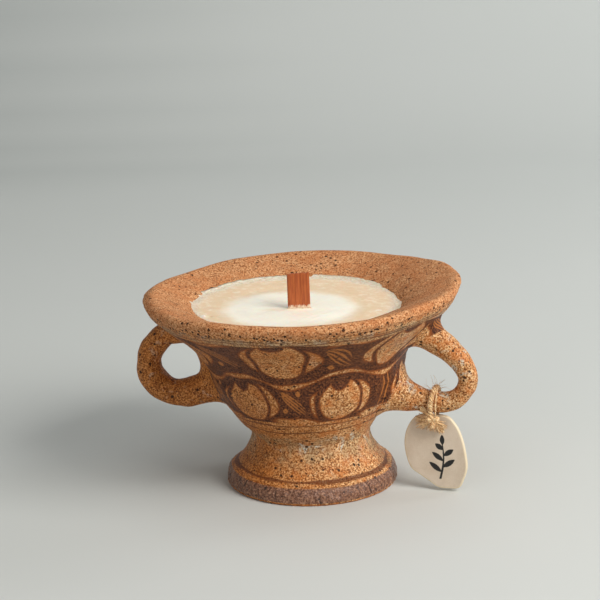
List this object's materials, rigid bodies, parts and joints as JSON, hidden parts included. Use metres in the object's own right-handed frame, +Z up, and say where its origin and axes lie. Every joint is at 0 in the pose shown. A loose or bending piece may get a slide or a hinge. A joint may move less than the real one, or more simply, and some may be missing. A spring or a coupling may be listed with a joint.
{
  "type": "footed cup candle",
  "caption": "Hand-thrown stoneware cup on a hollow pedestal foot, with loop handles, a poured wax candle with a flat wooden wick, and a ceramic hang tag on twine.",
  "frame": {"origin": "centre of the foot's underside, on the surface the cup stands on", "axes": "+Z up, +X towards the right handle, -Y towards the front, where the tag and the painted medallions face"},
  "size_m": [0.1905, 0.1766, 0.123],
  "materials": {
    "stoneware": "speckled ochre stoneware with a dark brown painted band",
    "wax": "cream poured wax",
    "wick_wood": "raw reddish wood veneer",
    "tin": "tinned sheet",
    "adhesive": "white foam sticker",
    "jute": "natural jute twine",
    "porcelain": "unglazed pale clay"
  },
  "bodies": {
    "vessel": {"bowl": "stoneware", "pedestal_foot": "stoneware", "left_handle": "stoneware", "right_handle": "stoneware", "candle_wax": "wax", "wick": "wick_wood", "wick_clip": "tin", "wick_sticker": "adhesive"},
    "twine_loop": {"twine_loop": "jute"},
    "twine_knot": {"twine_knot": "jute"},
    "tag": {"tag": "porcelain"}
  },
  "joints": [
    {"name": "loop_swing", "type": "hinge", "parent": "vessel", "child": "twine_loop", "pos_m": [0.06848, -0.02225, 0.0504], "axis": [-0.9511, 0.309, 0], "range_deg": [-70, 70]},
    {"name": "knot_twist", "type": "hinge", "parent": "twine_loop", "child": "twine_knot", "pos_m": [0.06848, -0.02225, 0.0504], "axis": [0.0269, 0.0829, 0.9962], "range_deg": [-35, 35]},
    {"name": "tag_sway", "type": "hinge", "parent": "twine_knot", "child": "tag", "pos_m": [0.06816, -0.02322, 0.03875], "axis": [0.3078, 0.9474, -0.0872], "range_deg": [-6, 6]}
  ]
}
